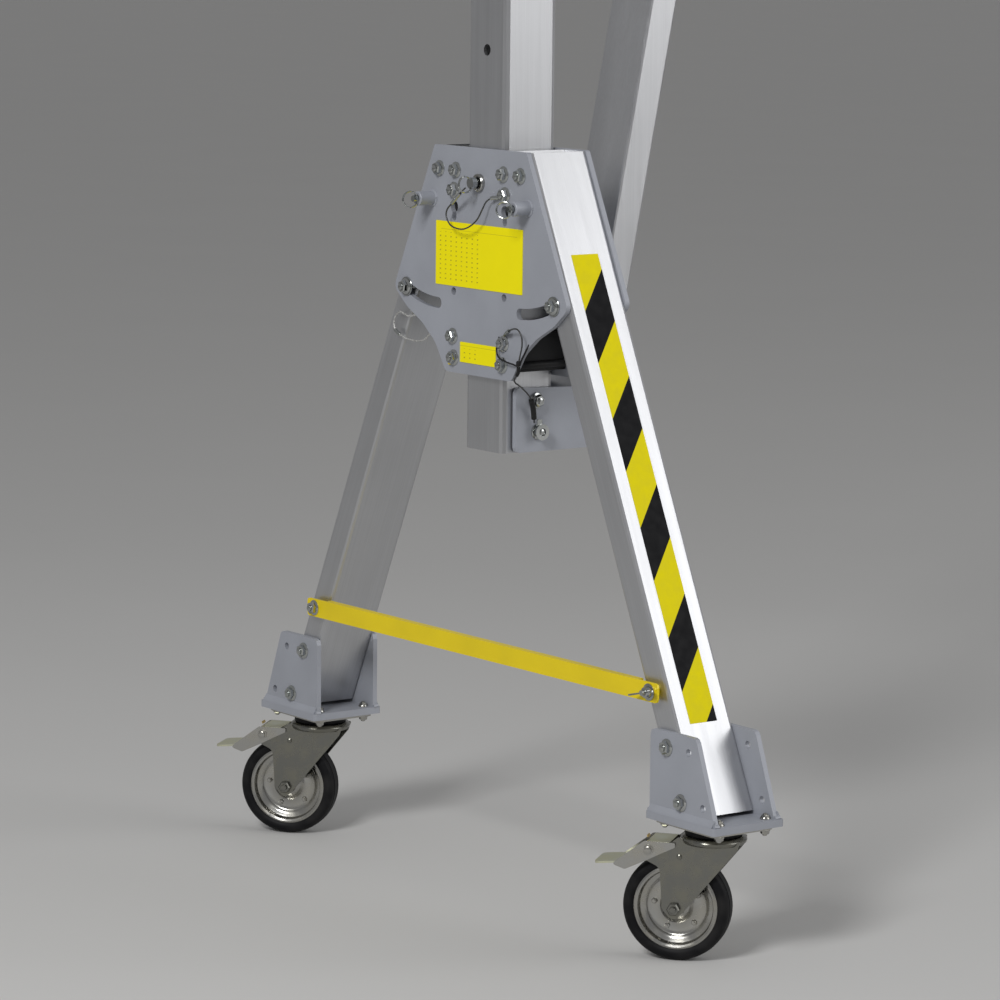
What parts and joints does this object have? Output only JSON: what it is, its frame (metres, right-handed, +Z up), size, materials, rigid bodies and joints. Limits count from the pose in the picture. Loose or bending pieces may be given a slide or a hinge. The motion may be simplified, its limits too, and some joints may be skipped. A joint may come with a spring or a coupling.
{
  "type": "portable gantry crane",
  "caption": "Portable aluminium gantry crane: girder with trolley on two pinned masts, each held by folding splayed legs with a tie bar and braked swivel castors.",
  "frame": {"origin": "floor level, at the middle of the bounding box", "axes": "+Z up, +Y along the girder, +X across it; the pictured end frame is the one at -Y"},
  "size_m": [1.3326, 4, 2.26],
  "materials": {
    "aluminium": "drawn, fine lengthwise grain",
    "grey_paint": "satin powder coat",
    "yellow_paint": "satin paint",
    "zinc": "bright zinc plate",
    "rubber": "matt rubber",
    "bolt_zinc": "bright zinc plate",
    "slide_plastic": "matt",
    "pedal_zinc": "yellowish zinc plate",
    "steel_wire": "stranded wire",
    "braid": "braided wire"
  },
  "bodies": {
    "near_head": {"near_outer_head_plate": "grey_paint", "near_inner_head_plate": "grey_paint", "near_upper_slide_collar": "slide_plastic", "near_lower_slide_collar": "slide_plastic", "near_left_pivot_bolt": "bolt_zinc", "near_right_pivot_bolt": "bolt_zinc", "near_plunger_lanyard": "steel_wire", "near_bracket_lanyard": "steel_wire", "near_side_lanyard": "braid"},
    "near_left_leg_body": {"near_left_leg": "aluminium", "near_left_foot": "grey_paint", "near_left_castor_plate": "zinc"},
    "near_left_fork_body": {"near_left_fork": "zinc"},
    "near_left_wheel_body": {"near_left_wheel_rim": "zinc", "near_left_tyre": "rubber"},
    "near_left_pedal_body": {"near_left_brake_pedal": "pedal_zinc"},
    "near_left_lock_plunger_body": {"near_left_lock_plunger": "bolt_zinc"},
    "near_right_leg_body": {"near_right_leg": "aluminium", "near_right_foot": "grey_paint", "near_right_castor_plate": "zinc"},
    "near_right_fork_body": {"near_right_fork": "zinc"},
    "near_right_wheel_body": {"near_right_wheel_rim": "zinc", "near_right_tyre": "rubber"},
    "near_right_pedal_body": {"near_right_brake_pedal": "pedal_zinc"},
    "near_right_lock_plunger_body": {"near_right_lock_plunger": "bolt_zinc"},
    "near_tie_bar_body": {"near_tie_bar": "yellow_paint"},
    "near_index_plunger_body": {"near_index_plunger": "bolt_zinc"},
    "far_head": {"far_outer_head_plate": "grey_paint", "far_inner_head_plate": "grey_paint", "far_upper_slide_collar": "slide_plastic", "far_lower_slide_collar": "slide_plastic", "far_left_pivot_bolt": "bolt_zinc", "far_right_pivot_bolt": "bolt_zinc"},
    "far_left_leg_body": {"far_left_leg": "aluminium", "far_left_foot": "grey_paint", "far_left_castor_plate": "zinc"},
    "far_left_fork_body": {"far_left_fork": "zinc"},
    "far_left_wheel_body": {"far_left_wheel_rim": "zinc", "far_left_tyre": "rubber"},
    "far_left_pedal_body": {"far_left_brake_pedal": "pedal_zinc"},
    "far_left_lock_plunger_body": {"far_left_lock_plunger": "bolt_zinc"},
    "far_right_leg_body": {"far_right_leg": "aluminium", "far_right_foot": "grey_paint", "far_right_castor_plate": "zinc"},
    "far_right_fork_body": {"far_right_fork": "zinc"},
    "far_right_wheel_body": {"far_right_wheel_rim": "zinc", "far_right_tyre": "rubber"},
    "far_right_pedal_body": {"far_right_brake_pedal": "pedal_zinc"},
    "far_right_lock_plunger_body": {"far_right_lock_plunger": "bolt_zinc"},
    "far_tie_bar_body": {"far_tie_bar": "yellow_paint"},
    "far_index_plunger_body": {"far_index_plunger": "bolt_zinc"},
    "upper": {"girder": "aluminium", "near_mast": "aluminium", "near_brace_bracket": "grey_paint", "near_brace": "aluminium", "far_mast": "aluminium", "far_brace_bracket": "grey_paint", "far_brace": "aluminium"},
    "trolley_body": {"trolley": "zinc"}
  },
  "joints": [
    {"name": "near_left_leg_fold", "type": "hinge", "parent": "near_head", "child": "near_left_leg_body", "pos_m": [-0.104, -1.7, 1.125], "axis": [0, -1, 0], "range_deg": [0, 23.5]},
    {"name": "near_left_castor_swivel", "type": "hinge", "parent": "near_left_leg_body", "child": "near_left_fork_body", "pos_m": [-0.513, -1.7, 0.18], "axis": [0, 0, 1], "continuous": true},
    {"name": "near_left_wheel_spin", "type": "hinge", "parent": "near_left_fork_body", "child": "near_left_wheel_body", "pos_m": [-0.55364, -1.73244, 0.08], "axis": [-0.6239, 0.7815, 0], "continuous": true},
    {"name": "near_left_brake_press", "type": "hinge", "parent": "near_left_fork_body", "child": "near_left_pedal_body", "pos_m": [-0.58412, -1.75677, 0.166], "axis": [0.6239, -0.7815, 0], "range_deg": [0, 14]},
    {"name": "near_left_lock_push", "type": "slide", "parent": "near_head", "child": "near_left_lock_plunger_body", "axis": [0, 1, 0], "range_m": [0, 0.008]},
    {"name": "near_right_leg_fold", "type": "hinge", "parent": "near_head", "child": "near_right_leg_body", "pos_m": [0.104, -1.7, 1.125], "axis": [0, 1, 0], "range_deg": [0, 23.5]},
    {"name": "near_right_castor_swivel", "type": "hinge", "parent": "near_right_leg_body", "child": "near_right_fork_body", "pos_m": [0.513, -1.7, 0.18], "axis": [0, 0, 1], "continuous": true},
    {"name": "near_right_wheel_spin", "type": "hinge", "parent": "near_right_fork_body", "child": "near_right_wheel_body", "pos_m": [0.47236, -1.73244, 0.08], "axis": [-0.6239, 0.7815, 0], "continuous": true},
    {"name": "near_right_brake_press", "type": "hinge", "parent": "near_right_fork_body", "child": "near_right_pedal_body", "pos_m": [0.44188, -1.75677, 0.166], "axis": [0.6239, -0.7815, 0], "range_deg": [0, 14]},
    {"name": "near_right_lock_push", "type": "slide", "parent": "near_head", "child": "near_right_lock_plunger_body", "axis": [0, 1, 0], "range_m": [0, 0.008]},
    {"name": "near_tie_bar_swing", "type": "hinge", "parent": "near_left_leg_body", "child": "near_tie_bar_body", "pos_m": [-0.437, -1.758, 0.3945], "axis": [0, -1, 0], "range_deg": [0, 30]},
    {"name": "near_index_push", "type": "slide", "parent": "near_head", "child": "near_index_plunger_body", "axis": [0, 1, 0], "range_m": [0, 0.01]},
    {"name": "far_left_leg_fold", "type": "hinge", "parent": "far_head", "child": "far_left_leg_body", "pos_m": [0.104, 1.7, 1.125], "axis": [0, 1, 0], "range_deg": [0, 23.5]},
    {"name": "far_left_castor_swivel", "type": "hinge", "parent": "far_left_leg_body", "child": "far_left_fork_body", "pos_m": [0.513, 1.7, 0.18], "axis": [0, 0, 1], "continuous": true},
    {"name": "far_left_wheel_spin", "type": "hinge", "parent": "far_left_fork_body", "child": "far_left_wheel_body", "pos_m": [0.55364, 1.73244, 0.08], "axis": [0.6239, -0.7815, 0], "continuous": true},
    {"name": "far_left_brake_press", "type": "hinge", "parent": "far_left_fork_body", "child": "far_left_pedal_body", "pos_m": [0.58412, 1.75677, 0.166], "axis": [-0.6239, 0.7815, 0], "range_deg": [0, 14]},
    {"name": "far_left_lock_push", "type": "slide", "parent": "far_head", "child": "far_left_lock_plunger_body", "axis": [0, -1, 0], "range_m": [0, 0.008]},
    {"name": "far_right_leg_fold", "type": "hinge", "parent": "far_head", "child": "far_right_leg_body", "pos_m": [-0.104, 1.7, 1.125], "axis": [0, -1, 0], "range_deg": [0, 23.5]},
    {"name": "far_right_castor_swivel", "type": "hinge", "parent": "far_right_leg_body", "child": "far_right_fork_body", "pos_m": [-0.513, 1.7, 0.18], "axis": [0, 0, 1], "continuous": true},
    {"name": "far_right_wheel_spin", "type": "hinge", "parent": "far_right_fork_body", "child": "far_right_wheel_body", "pos_m": [-0.47236, 1.73244, 0.08], "axis": [0.6239, -0.7815, 0], "continuous": true},
    {"name": "far_right_brake_press", "type": "hinge", "parent": "far_right_fork_body", "child": "far_right_pedal_body", "pos_m": [-0.44188, 1.75677, 0.166], "axis": [-0.6239, 0.7815, 0], "range_deg": [0, 14]},
    {"name": "far_right_lock_push", "type": "slide", "parent": "far_head", "child": "far_right_lock_plunger_body", "axis": [0, -1, 0], "range_m": [0, 0.008]},
    {"name": "far_tie_bar_swing", "type": "hinge", "parent": "far_left_leg_body", "child": "far_tie_bar_body", "pos_m": [0.437, 1.758, 0.3945], "axis": [0, 1, 0], "range_deg": [0, 30]},
    {"name": "far_index_push", "type": "slide", "parent": "far_head", "child": "far_index_plunger_body", "axis": [0, -1, 0], "range_m": [0, 0.01]},
    {"name": "near_mast_slide", "type": "slide", "parent": "near_head", "child": "upper", "axis": [0, 0, 1], "range_m": [-0.35, 0]},
    {"name": "far_head_slide", "type": "slide", "parent": "upper", "child": "far_head", "axis": [0, 0, 1], "range_m": [0, 0.35]},
    {"name": "trolley_travel", "type": "slide", "parent": "upper", "child": "trolley_body", "axis": [0, 1, 0], "range_m": [-1.13, 1.13]}
  ],
  "couplings": [
    {"joint": "far_head_slide", "follows": "near_mast_slide", "ratio": -1}
  ]
}
